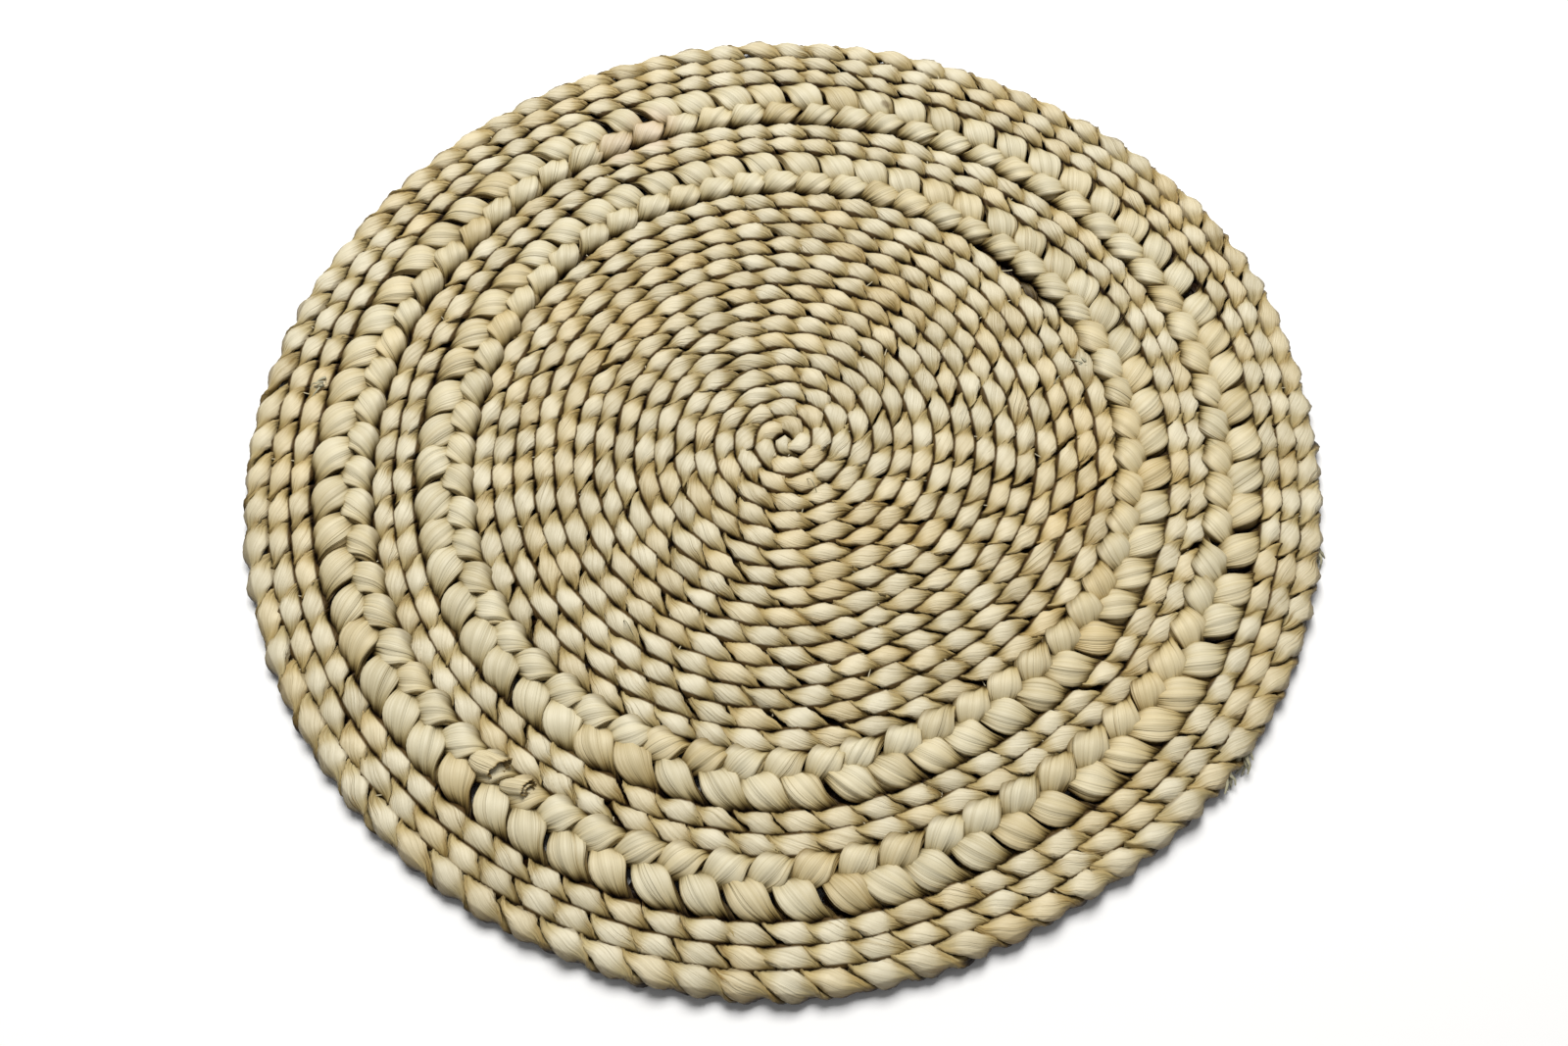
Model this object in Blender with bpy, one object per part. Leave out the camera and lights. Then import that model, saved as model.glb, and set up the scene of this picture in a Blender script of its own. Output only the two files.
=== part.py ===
"""A round placemat of corn husk: a coil of twisted husk cord, two rings of three-strand
plait and five rings of the same cord, laid edge to edge and sewn into one flat mat.

Metres, +Z up. The origin is on the underside, at the middle of the centre coil. The mat lies
on the plane z = 0. Angles run anticlockwise from +X, seen from above.
"""

import math

import bmesh
import bpy

# ---------------------------------------------------------------- sizes, in metres

CORD_THICK = 0.0085          # height of a row of twisted cord
PLAIT_THICK = 0.0105         # height of a plait at the top of its lobes
GAP = 0.0003                 # clearance between neighbouring pieces
GROOVE_HEIGHT = 0.0050       # floor of the groove between two turns of the coil
SIDE_HEIGHT = 0.0042         # height at which a row or a plait is widest
FOOT_INSET = 0.0016          # how much narrower a ring is on its underside, on each side

# Where the ring pieces lie, as radii on a true circle of the same size
FIELD_EDGE = 0.1136          # outside of the centre coil
INNER_PLAIT_EDGE = 0.1333
MIDDLE_CORD_EDGES = (0.1404, 0.1472)
OUTER_PLAIT_EDGE = 0.1677
OUTER_CORD_EDGES = (0.1748, 0.1820, 0.1892)
RIM = OUTER_CORD_EDGES[-1]

# The mat is hand laid, so its rows wander: true radii at every thirty degrees, in millimetres
LIE_STEP_DEG = 30
LIE = (
    # field edge, rim
    (117.4, 187.7),
    (116.3, 192.5),
    (112.1, 189.8),
    (111.5, 189.8),
    (111.7, 189.6),
    (110.6, 188.9),
    (110.8, 189.8),
    (114.2, 190.0),
    (115.7, 190.8),
    (115.1, 190.8),
    (112.1, 185.3),
    (115.3, 187.2),
)

# The centre coil: one cord wound outwards until it tapers away under the inner plait
STEPS_A_TURN = 36
COIL_START = 0.0048          # radius of the first turn's middle line where the cord begins
COIL_TURNS = 15
COIL_END_DEG = 60            # the angle at which the last turn has tapered to nothing
COIL_TAPER_DEG = 40          # how far before that the taper starts
NARROWEST_FULL_ROW = 0.0045  # a row narrower than this is lower as well

# Cross-section of a cord: share of its width, share of the height from its side to its crest
CORD_SECTION = ((0.0, 0.0), (0.20, 0.74), (0.50, 1.0), (0.80, 0.74), (1.0, 0.0))
RING_STEPS = 48

# The plaits: lobes along each side, and three steps to a lobe
STEPS_A_LOBE = 3
INNER_PLAIT_LOBES = 57
OUTER_PLAIT_LOBES = 69
PLAIT_SEAM = 0.40            # share of the width, from the inside, where the two sides meet
LOBE_SWEEP = 0.9             # how far a lobe leans forward from seam to edge, in lobes
INNER_CREST = 0.22           # share of the width at which the inner lobes are highest
OUTER_CREST = 0.70           # and the outer ones
LOBE_RELIEF = 0.0026         # height of a lobe above the crease between two of them
INNER_DROP = 0.0008          # how much lower the inner lobes lie than the outer ones
SEAM_DEPTH = 0.0030          # depth of the seam below the top of the lobes
SCALLOP = 0.0011             # how far the edge draws in between two lobes


# The look of each husk: colour, roughness
STRAW = ((0.62, 0.52, 0.33), 0.55)
PALE_STRAW = ((0.68, 0.58, 0.38), 0.50)
SHARP_DEG = 50               # an edge sharper than this is left unsmoothed


# ---------------------------------------------------------------- where the rows run

def wander(column, angle):
    """The value of one column of LIE at an angle in radians, on a smooth closed curve."""
    count = len(LIE)
    place = math.degrees(angle) / LIE_STEP_DEG
    first = math.floor(place)
    share = place - first
    before, start, end, after = (
        LIE[(first + step) % count][column] / 1000 for step in (-1, 0, 1, 2)
    )
    return start + 0.5 * share * (
        end - before
        + share * (2 * before - 5 * start + 4 * end - after
                   + share * (3 * (start - end) + after - before))
    )


def lay(radius, angle):
    """The real radius at this angle of a ring whose true circle has the given radius."""
    inside = wander(0, angle)
    outside = wander(1, angle)
    share = (radius - FIELD_EDGE) / (RIM - FIELD_EDGE)
    return inside + share * (outside - inside)


def rows_inside(angle):
    """How many rows of cord lie between the centre and the inner plait at this angle."""
    last = COIL_TURNS - 0.5 + COIL_END_DEG / 360
    degrees = math.degrees(angle) % 360
    if degrees >= COIL_END_DEG:
        return last + (degrees - COIL_END_DEG) / 360
    taper_start = COIL_END_DEG - COIL_TAPER_DEG
    if degrees <= taper_start:
        return last + (degrees + 360 - COIL_END_DEG) / 360
    share = (degrees - taper_start) / COIL_TAPER_DEG
    ease = share * share * (3 - 2 * share)
    return last + (1 - ease) * (1 - COIL_TAPER_DEG / 360)


def coil_radius(rows, angle):
    """Radius of the coil that many rows out at this angle, with the rows evenly shared out."""
    room = lay(FIELD_EDGE, angle) - GAP / 2 - COIL_START
    return COIL_START + room * min(1, rows / rows_inside(angle))


# ---------------------------------------------------------------- meshes

def point(radius, angle, height):
    return (radius * math.cos(angle), radius * math.sin(angle), height)


def finish(name, mesh, husk):
    """Turns a closed bmesh into a named object with its own material."""
    color, roughness = husk
    bmesh.ops.recalc_face_normals(mesh, faces=mesh.faces)
    data = bpy.data.meshes.new(name)
    mesh.to_mesh(data)
    mesh.free()
    data.shade_smooth()
    data.set_sharp_from_angle(angle=math.radians(SHARP_DEG))
    material = bpy.data.materials.new(name)
    material.use_nodes = True
    shader = material.node_tree.nodes["Principled BSDF"]
    shader.inputs["Base Color"].default_value = (*color, 1)
    shader.inputs["Roughness"].default_value = roughness
    shader.inputs["Metallic"].default_value = 0.0
    data.materials.append(material)
    bpy.context.scene.collection.objects.link(bpy.data.objects.new(name, data))


def bridge(mesh, first, second):
    """Faces between two rows of vertices, which may share some of them."""
    for a, b, c, d in zip(first, first[1:], second[1:], second):
        corners = []
        for corner in (a, b, c, d):
            if corner not in corners:
                corners.append(corner)
        if len(corners) > 2:
            mesh.faces.new(corners)


def centre_coil(name, husk):
    """The wound cord: each turn is a rib, and neighbouring turns share the groove between them."""
    mesh = bmesh.new()
    steps = COIL_TURNS * STEPS_A_TURN + round(COIL_END_DEG / 360 * STEPS_A_TURN)
    middle = mesh.verts.new((0, 0, GROOVE_HEIGHT))
    grooves = []
    columns = []
    for step in range(steps + 1):
        turns = step / STEPS_A_TURN
        angle = turns * math.tau
        inside = middle if step < STEPS_A_TURN else grooves[step - STEPS_A_TURN]
        if step == steps:
            columns.append([inside] * len(CORD_SECTION))
            break
        inner = 0.0 if step < STEPS_A_TURN else coil_radius(turns - 0.5, angle)
        outer = coil_radius(turns + 0.5, angle)
        width = outer - inner
        crest = min(1.0, width / NARROWEST_FULL_ROW)
        groove = mesh.verts.new(point(outer, angle, GROOVE_HEIGHT))
        ribs = [
            mesh.verts.new(point(
                inner + across * width,
                angle,
                GROOVE_HEIGHT + up * crest * (CORD_THICK - GROOVE_HEIGHT),
            ))
            for across, up in CORD_SECTION[1:-1]
        ]
        grooves.append(groove)
        columns.append([inside, *ribs, groove])
    for first, second in zip(columns, columns[1:]):
        bridge(mesh, first, second)
    mesh.faces.new(columns[0])

    rim = grooves[steps - STEPS_A_TURN:]
    foot = [
        mesh.verts.new((*(vert.co.xy * (1 - FOOT_INSET / vert.co.xy.length)), 0))
        for vert in rim
    ]
    bridge(mesh, [*rim, rim[0]], [*foot, foot[0]])
    mesh.faces.new(foot)
    finish(name, mesh, husk)


def ring(name, inner, outer, columns, husk):
    """A closed ring whose cross-section at each step is a list of (width share, lean, height)."""
    mesh = bmesh.new()
    rows = []
    for step, column in enumerate(columns):
        turn = step / len(columns)
        row = []
        for across, lean, height in column:
            angle = (turn + lean) * math.tau
            inside = lay(inner, angle) + GAP / 2
            outside = lay(outer, angle) - GAP / 2
            row.append(mesh.verts.new(
                point(inside + across * (outside - inside), angle, height)
            ))
        rows.append([*row, row[0]])
    for first, second in zip(rows, [*rows[1:], rows[0]]):
        bridge(mesh, first, second)
    finish(name, mesh, husk)


def cord_ring(name, inner, outer, husk):
    """One row of twisted cord, round above and flat where it lies."""
    foot = FOOT_INSET / (outer - inner)
    column = [(foot, 0, 0)]
    column += [
        (across, 0, SIDE_HEIGHT + up * (CORD_THICK - SIDE_HEIGHT))
        for across, up in CORD_SECTION
    ]
    column += [(1 - foot, 0, 0)]
    ring(name, inner, outer, [column] * RING_STEPS, husk)


def plait_ring(name, inner, outer, lobes, husk):
    """A three-strand plait: two staggered rows of lobes that lean forward from the seam."""
    width = outer - inner
    foot = FOOT_INSET / width
    sweep = LOBE_SWEEP / lobes
    inner_top = PLAIT_THICK - INNER_DROP
    columns = []
    for step in range(lobes * STEPS_A_LOBE):
        phase = step % STEPS_A_LOBE / STEPS_A_LOBE
        outer_swell = math.sin(math.pi * phase)
        inner_swell = math.sin(math.pi * ((phase + 0.5) % 1))
        inner_draw = SCALLOP / width * (1 - inner_swell)
        outer_draw = SCALLOP / width * (1 - outer_swell)
        columns.append([
            (foot, sweep, 0),
            (inner_draw, sweep, SIDE_HEIGHT),
            (INNER_CREST, 0.5 * sweep, inner_top - LOBE_RELIEF * (1 - inner_swell)),
            (PLAIT_SEAM, 0, PLAIT_THICK - SEAM_DEPTH),
            (OUTER_CREST, 0.5 * sweep, PLAIT_THICK - LOBE_RELIEF * (1 - outer_swell)),
            (1 - outer_draw, sweep, SIDE_HEIGHT),
            (1 - foot, sweep, 0),
        ])
    ring(name, inner, outer, columns, husk)


# ---------------------------------------------------------------- the mat

def build():
    for obj in list(bpy.data.objects):
        bpy.data.objects.remove(obj, do_unlink=True)
    centre_coil("centre_coil", STRAW)
    plait_ring("inner_plait", FIELD_EDGE, INNER_PLAIT_EDGE, INNER_PLAIT_LOBES, PALE_STRAW)
    inside = INNER_PLAIT_EDGE
    for number, edge in enumerate(MIDDLE_CORD_EDGES, 1):
        cord_ring(f"middle_cord_{number}", inside, edge, STRAW)
        inside = edge
    plait_ring("outer_plait", inside, OUTER_PLAIT_EDGE, OUTER_PLAIT_LOBES, PALE_STRAW)
    inside = OUTER_PLAIT_EDGE
    for number, edge in enumerate(OUTER_CORD_EDGES, 1):
        cord_ring(f"outer_cord_{number}", inside, edge, STRAW)
        inside = edge


build()
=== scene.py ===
# %% [markdown]
# # A corn husk placemat
# The mat is made here the way its maker makes it. Strips of damp husk are twisted into a cord of
# two plies, or plaited in three strands. The cord and the plaits are laid side by side in rings
# and sewn together. Each ply and each strand is a real ribbon of husk that runs along the solid
# it stands for, so its edges and hollows catch the light as husk does.

# %% Load the solids and keep their size
import math
import random

import bpy
from mathutils import Euler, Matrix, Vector


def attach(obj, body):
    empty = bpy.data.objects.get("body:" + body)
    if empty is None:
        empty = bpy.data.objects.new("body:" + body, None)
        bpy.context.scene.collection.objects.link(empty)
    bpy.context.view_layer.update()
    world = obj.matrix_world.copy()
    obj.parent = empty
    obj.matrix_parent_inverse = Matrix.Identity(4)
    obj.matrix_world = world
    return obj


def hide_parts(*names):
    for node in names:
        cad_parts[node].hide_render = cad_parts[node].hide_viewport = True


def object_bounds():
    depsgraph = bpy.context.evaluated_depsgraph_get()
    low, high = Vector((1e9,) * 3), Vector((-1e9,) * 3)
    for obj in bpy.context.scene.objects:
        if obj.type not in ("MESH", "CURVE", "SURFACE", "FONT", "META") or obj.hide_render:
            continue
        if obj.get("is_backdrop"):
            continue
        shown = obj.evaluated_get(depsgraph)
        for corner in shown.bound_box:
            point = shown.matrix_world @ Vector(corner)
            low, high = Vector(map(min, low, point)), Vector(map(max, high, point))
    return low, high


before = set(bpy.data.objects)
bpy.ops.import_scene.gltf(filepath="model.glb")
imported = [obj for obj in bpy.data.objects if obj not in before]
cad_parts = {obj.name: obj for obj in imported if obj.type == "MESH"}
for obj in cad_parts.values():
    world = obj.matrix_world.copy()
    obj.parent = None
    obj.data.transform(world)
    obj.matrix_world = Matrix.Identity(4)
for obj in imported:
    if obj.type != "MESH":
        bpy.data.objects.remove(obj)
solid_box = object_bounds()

print("solids:", ", ".join(sorted(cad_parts)))

# %% [markdown]
# ## Floor, light and camera
# The mat lies on white paper under one large soft lamp. The lamp hangs behind the mat, so every
# row shades its near side and the grooves read as dark lines, darkened further by painted shade.
# The paper could have been the world's colour alone, but only a real surface takes the soft shadow
# under the rim. The camera comes first, because each later piece is seen through it.


# %% The floor
FLOOR_REACH = 6.0
FLOOR_WHITE = (0.96, 0.96, 0.96, 1.0)


def added(name, data):
    """A new object with this data, in the scene."""
    thing = bpy.data.objects.new(name, data)
    bpy.context.scene.collection.objects.link(thing)
    return thing


def new_material(name, roughness):
    """A material, its node tree and its shader."""
    material = bpy.data.materials.new(name)
    material.use_nodes = True
    shader = material.node_tree.nodes["Principled BSDF"]
    shader.inputs["Roughness"].default_value = roughness
    return material, material.node_tree, shader


paper, _, paper_shader = new_material("white paper", 0.9)
paper_shader.inputs["Base Color"].default_value = FLOOR_WHITE
sheet = bpy.data.meshes.new("floor")
sheet.from_pydata(
    [(x * FLOOR_REACH, y * FLOOR_REACH, 0) for x, y in ((-1, -1), (1, -1), (1, 1), (-1, 1))],
    [],
    [(0, 1, 2, 3)],
)
sheet.materials.append(paper)
floor = added("floor", sheet)
floor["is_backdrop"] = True
print(f"floor {2 * FLOOR_REACH:.0f} m wide")

# %% The light
LAMP_PLACE = Vector((-0.12, 0.78, 1.65))
LAMP_SIZE = 1.0
LAMP_WATTS = 40.5
LAMP_COLOUR = (1.0, 0.99, 0.97)
SKY_STRENGTH = 0.20


def facing(place, aim):
    """The turn that makes a lamp or a camera at one place look at another."""
    return (aim - place).to_track_quat("-Z", "Y")


world = bpy.data.worlds.new("studio")
world.use_nodes = True
sky = world.node_tree.nodes["Background"]
sky.inputs["Color"].default_value = (1, 1, 1, 1)
sky.inputs["Strength"].default_value = SKY_STRENGTH
bpy.context.scene.world = world
lamp_data = bpy.data.lights.new("overhead", "AREA")
lamp_data.size = LAMP_SIZE
lamp_data.energy = LAMP_WATTS
lamp_data.color = LAMP_COLOUR
lamp = added("overhead", lamp_data)
lamp.location = LAMP_PLACE
lamp.rotation_euler = facing(LAMP_PLACE, Vector((0, 0, 0))).to_euler()
bpy.context.scene.view_settings.view_transform = "Standard"
print(f"lamp of {LAMP_WATTS} W, {LAMP_PLACE.length:.2f} m from the middle of the mat")

# %% The camera
CAMERA_PLACE = Vector((0.0, -0.2661, 0.4660))
CAMERA_AIM = Vector((-0.0007, -0.0320, 0.0050))
CAMERA_ROLL_DEG = 1.14
CAMERA_LENS_MM = 34.2

camera_data = bpy.data.cameras.new("camera")
camera_data.lens = CAMERA_LENS_MM
camera = added("camera", camera_data)
camera.location = CAMERA_PLACE
roll = Euler((0, 0, math.radians(CAMERA_ROLL_DEG))).to_quaternion()
camera.rotation_euler = (facing(CAMERA_PLACE, CAMERA_AIM) @ roll).to_euler()
bpy.context.scene.camera = camera
looks = CAMERA_AIM - CAMERA_PLACE
print(f"camera looks down at {math.degrees(math.asin(-looks.z / looks.length)):.0f} degrees")

# %% [markdown]
# ## Sizes
# Every length is in metres. The radii are those of a true circle, but the mat is laid by hand, so
# a short table says how far out the rows really run at every thirty degrees, and a smooth closed
# curve joins its values. A perfect circle would look machine made.

# %% Sizes of the rows
FIELD_EDGE = 0.1136          # outside of the centre coil
INNER_PLAIT_EDGE = 0.1333
MIDDLE_CORD_EDGES = (0.1404, 0.1472)
OUTER_PLAIT_EDGE = 0.1677
OUTER_CORD_EDGES = (0.1748, 0.1820, 0.1892)
RIM = OUTER_CORD_EDGES[-1]

LIE_STEP_DEG = 30
LIE_MM = (
    # field edge, rim
    (117.4, 187.7),
    (116.3, 192.5),
    (112.1, 189.8),
    (111.5, 189.8),
    (111.7, 189.6),
    (110.6, 188.9),
    (110.8, 189.8),
    (114.2, 190.0),
    (115.7, 190.8),
    (115.1, 190.8),
    (112.1, 185.3),
    (115.3, 187.2),
)

COIL_START = 0.0048          # radius of the first turn's middle line where the cord begins
COIL_TURNS = 15
COIL_END_DEG = 60            # where the last turn has tapered to nothing
COIL_TAPER_DEG = 40          # how far before that the taper starts
print(f"mat {2000 * RIM:.0f} mm across, its centre coil {2000 * FIELD_EDGE:.0f} mm")


# %% How the rows wander
def wander(column, angle):
    """One column of LIE_MM at an angle in radians, in metres, on a smooth closed curve."""
    place = math.degrees(angle) / LIE_STEP_DEG
    first = math.floor(place)
    share = place - first
    before, start, end, after = (
        LIE_MM[(first + step) % len(LIE_MM)][column] / 1000 for step in (-1, 0, 1, 2)
    )
    return start + 0.5 * share * (
        end - before
        + share * (2 * before - 5 * start + 4 * end - after
                   + share * (3 * (start - end) + after - before))
    )


def lay(radius, angle):
    """The real radius at this angle of a ring whose true circle has the given radius."""
    share = (radius - FIELD_EDGE) / (RIM - FIELD_EDGE)
    return wander(0, angle) + share * (wander(1, angle) - wander(0, angle))


widest = max(lay(RIM, math.radians(degrees)) for degrees in range(360))
print(f"the rim runs out to {1000 * widest:.1f} mm at its widest")


# %% How the coil's rows share the room
def rows_inside(angle):
    """How many rows of cord lie between the centre and the inner plait at this angle."""
    last = COIL_TURNS - 0.5 + COIL_END_DEG / 360
    degrees = math.degrees(angle) % 360
    taper_start = COIL_END_DEG - COIL_TAPER_DEG
    if degrees >= COIL_END_DEG:
        return last + (degrees - COIL_END_DEG) / 360
    if degrees <= taper_start:
        return last + (degrees + 360 - COIL_END_DEG) / 360
    share = (degrees - taper_start) / COIL_TAPER_DEG
    return last + (1 - share * share * (3 - 2 * share)) * (1 - COIL_TAPER_DEG / 360)


def coil_radius(rows, angle):
    """Radius of the coil that many rows out at this angle."""
    room = lay(FIELD_EDGE, angle) - COIL_START
    return COIL_START + room * min(1, rows / rows_inside(angle))


print(f"{rows_inside(0):.1f} rows of cord from the middle to the inner plait")

# %% [markdown]
# ## Paths
# A path is a plain curve along the middle of a row. Its radius isn't a thickness in metres: it
# says how full the row is there, 1 for a whole cord and less where the coil's last turn tapers.
# Its tilt says how many turns the cord has twisted so far. On a real mat a lobe of cord settles
# into the hollow between two lobes of the row inside it, so the twist is stretched or pressed a
# little to follow that row. An even twist would set up a pattern of rays that no real mat has.

# %% How a row's twist follows the row inside it
CORD_LOBE = 0.0128           # from one lobe of a cord to the next
NESTING = 0.09               # the most that a lobe is stretched or pressed, as a share
TIGHT_LOBE = 0.62            # length of a lobe at the very middle, as a share of a whole one
TIGHT_RADIUS = 0.030         # inside this radius the cord is twisted more and more tightly


def at_angle(angle, angles, turns, after):
    """Turns at an angle between the places after - 1 and after of a row."""
    share = (angle - angles[after - 1]) / (angles[after] - angles[after - 1])
    return turns[after - 1] * (1 - share) + turns[after] * share


def twist_along(places, inner, lobe):
    """Turns at each (radius, angle, fullness) place; inner gives the turns of the row inside."""
    turns = [0.0]
    for (r0, a0, _), (r1, a1, _) in zip(places, places[1:]):
        tight = TIGHT_LOBE + (1 - TIGHT_LOBE) * min(1, r0 / TIGHT_RADIUS)
        step = math.hypot(r1 - r0, (a1 - a0) * (r0 + r1) / 2) / (2 * lobe * tight)
        beside = inner(a0, turns)
        pull = 0.0 if beside is None else math.sin(2 * math.tau * (beside - turns[-1]))
        turns.append(turns[-1] + step * (1 + NESTING * pull))
    return turns


print(f"a lobe of cord every {1000 * CORD_LOBE:.1f} mm, give or take {100 * NESTING:.0f}%")

# %% A path and its length
PATH_STEP = 0.003            # from one point of a path to the next


def path_along(name, places, turns):
    """A curve through (radius, angle, fullness) places, to be dressed by a node tree."""
    data = bpy.data.curves.new(name, "CURVE")
    data.dimensions = "3D"
    spline = data.splines.new("POLY")
    spline.points.add(len(places) - 1)
    for point, (radius, angle, fullness), turn in zip(spline.points, places, turns):
        point.co = (radius * math.cos(angle), radius * math.sin(angle), 0, 1)
        point.radius = fullness
        point.tilt = turn
    return added(name, data)


def path_length(path):
    """Length of the row that a path runs along, in metres."""
    points = [Vector(point.co[:3]) for point in path.data.splines[0].points]
    return sum((end - start).length for start, end in zip(points, points[1:]))


def ring_path(name, inner, outer, lobe, turns=None, beside=None):
    """A closed path midway between two radii, its whole turns, and the turns at any angle."""
    middle = (inner + outer) / 2
    count = round(math.tau * middle / PATH_STEP)
    angles = [math.tau * step / count for step in range(count + 1)]
    places = [(lay(middle, angle), angle, 1.0) for angle in angles]
    twist = twist_along(places, lambda angle, _: beside(angle) if beside else None, lobe)
    spare = (turns or round(twist[-1])) - twist[-1]
    twist = [turn + spare * angle / math.tau for turn, angle in zip(twist, angles)]

    def turns_at(angle):
        """Turns of this row at any angle, for the row outside it to follow."""
        after = max(1, min(count, int(angle / math.tau * count) + 1))
        return at_angle(angle, angles, twist, after)

    return path_along(name, places, twist), twist[-1], turns_at


print(f"paths have a point every {1000 * PATH_STEP:.0f} mm")

# %% [markdown]
# ## The path of the coil
# The coil is one long cord, wound outwards from a curled knot. Its turns share the room between
# the knot and the inner plait evenly at every angle, and its last turn gets thinner and slips
# away under that plait. A spiral of fixed pitch would be shorter to write, but it would leave a
# gap wherever the plait wanders outwards.

# %% The coil's path
KNOT_TURNS = 0.95            # how far the cord curls inside its first turn
KNOT_RADIUS = 0.0012
KNOT_FULLNESS = 1.12         # the cord is a little fuller at the very middle
KNOT_REACH = 0.016           # out to this radius


def coil_path(name):
    """The open path of the centre coil, from the curl in its middle to its tapered end."""
    places = []
    turns = -KNOT_TURNS
    full_row = (FIELD_EDGE - COIL_START) / COIL_TURNS
    while turns < COIL_TURNS + COIL_END_DEG / 360:
        angle = turns * math.tau
        inner = coil_radius(turns - 0.5, angle)
        outer = coil_radius(turns + 0.5, angle)
        radius = max(KNOT_RADIUS, (inner + outer) / 2)
        fullness = min(1, (outer - inner) / full_row)
        fullness *= KNOT_FULLNESS + (1 - KNOT_FULLNESS) * min(1, radius / KNOT_REACH)
        places.append((radius, angle, fullness))
        turns += PATH_STEP / max(radius, PATH_STEP) / math.tau
    angles = [angle for _, angle, _ in places]
    after = 1

    def one_row_in(angle, so_far):
        """Turns of the coil one row further in, or None inside its first turn."""
        nonlocal after
        place = angle - math.tau
        if place < angles[0]:
            return None
        while angles[after] < place:
            after += 1
        return at_angle(place, angles, so_far, after)

    twist = twist_along(places, one_row_in, CORD_LOBE)
    return path_along(name, places, twist), twist[-1]


coil, coil_turns = coil_path("coil path")
print(f"cord of the coil: {path_length(coil):.2f} m long, {2 * coil_turns:.0f} lobes")

# %% [markdown]
# ## Writing a node tree as sums
# A node tree is easier to read as a formula. A Field wraps one socket, and adding or multiplying
# two fields adds the node that does it. The same helpers serve the Geometry Nodes trees and the
# finishes. The other way is to place and link every node by hand, which takes ten times the lines.


# %% Fields
class Field:
    """A number or a vector that nodes work out at every point of a shape."""

    def __init__(self, tree, socket):
        self.tree = tree
        self.socket = socket

    def __add__(self, other):
        return combine("ADD", self, other)

    def __radd__(self, other):
        return combine("ADD", other, self)

    def __sub__(self, other):
        return combine("SUBTRACT", self, other)

    def __rsub__(self, other):
        return combine("SUBTRACT", other, self)

    def __mul__(self, other):
        return combine("MULTIPLY", self, other)

    def __rmul__(self, other):
        return combine("MULTIPLY", other, self)

    def __truediv__(self, other):
        return combine("DIVIDE", self, other)

    def __mod__(self, other):
        return combine("FLOORED_MODULO", self, other)

    def __neg__(self):
        return self * -1


def plug(tree, value, socket):
    """Links a field to a socket, or sets the socket to a plain value."""
    if isinstance(value, Field):
        tree.links.new(value.socket, socket)
    else:
        socket.default_value = value


def add_node(tree, kind, inputs=(), **settings):
    """A new node with its settings made and its inputs filled, by name or by number."""
    node = tree.nodes.new(kind)
    node.location = (180 * (len(tree.nodes) % 12), -160 * (len(tree.nodes) // 12))
    for name, value in settings.items():
        setattr(node, name, value)
    items = inputs.items() if isinstance(inputs, dict) else enumerate(inputs)
    for key, value in items:
        plug(tree, value, node.inputs[key])
    return node


def made(tree, kind, inputs=(), output=0, **settings):
    """The field that comes out of a new node."""
    return Field(tree, add_node(tree, kind, inputs, **settings).outputs[output])


print("fields can be added, multiplied and plugged into nodes")


# %% Sums of fields
def is_vector(value):
    """Whether a value or a field is a vector."""
    return isinstance(value, Vector) or isinstance(value, Field) and value.socket.type == "VECTOR"


def combine(operation, *values):
    """A math node on these values, or a vector math node where one of them is a vector."""
    tree = next(value.tree for value in values if isinstance(value, Field))
    vectors = [is_vector(value) for value in values]
    if not any(vectors):
        return made(tree, "ShaderNodeMath", values, "Value", operation=operation)
    if operation == "MULTIPLY" and not all(vectors):
        vector, number = values if vectors[0] else reversed(values)
        return made(tree, "ShaderNodeVectorMath", {0: vector, "Scale": number}, "Vector",
                    operation="SCALE")
    output = "Value" if operation in ("DOT_PRODUCT", "DISTANCE") else "Vector"
    return made(tree, "ShaderNodeVectorMath", values, output, operation=operation)


def sine(turns):
    """Sine of a number of whole turns."""
    return combine("SINE", turns * math.tau)


def cosine(turns):
    """Cosine of a number of whole turns."""
    return combine("COSINE", turns * math.tau)


def rounded(value, power):
    """The value raised to a power under one, with its sign kept: squares a circle a little."""
    return combine("SIGN", value) * combine("POWER", combine("ABSOLUTE", value), power)


def clamped(value, low, high):
    """The value kept between two limits."""
    return combine("MINIMUM", combine("MAXIMUM", value, low), high)


def xyz(tree, x, y, z):
    """A vector of three numbers."""
    return made(tree, "ShaderNodeCombineXYZ", (x, y, z))


print("sums, sines and vectors ready")


# %% Noise, and what is stored on a shape
def cloudy(tree, where, scale, detail=1.0):
    """Smooth noise about zero, from about -0.5 to 0.5."""
    return made(tree, "ShaderNodeTexNoise", {"Vector": where, "Scale": scale, "Detail": detail}) - 0.5


def scattered(tree, key):
    """A random number from 0 to 1 for each whole number."""
    return made(tree, "ShaderNodeTexWhiteNoise", {"W": key}, noise_dimensions="1D")


def read(tree, name, kind="FLOAT"):
    """A value that was stored on the shape under a name."""
    return made(tree, "GeometryNodeInputNamedAttribute", {"Name": name}, "Attribute",
                data_type=kind)


def store(tree, shape, name, value, kind="FLOAT", domain="POINT"):
    """Keeps a field on the points, or the face corners, of a shape under a name."""
    return made(tree, "GeometryNodeStoreNamedAttribute",
                {"Geometry": shape, "Name": name, "Value": value}, data_type=kind, domain=domain)


def position(tree):
    """Where each point is."""
    return made(tree, "GeometryNodeInputPosition")


def sideways(tree, ahead):
    """The level direction to the right of a path, at each point."""
    return combine("NORMALIZE", combine("CROSS_PRODUCT", ahead, xyz(tree, 0, 0, 1)))


print("noise and stored values ready")

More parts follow.
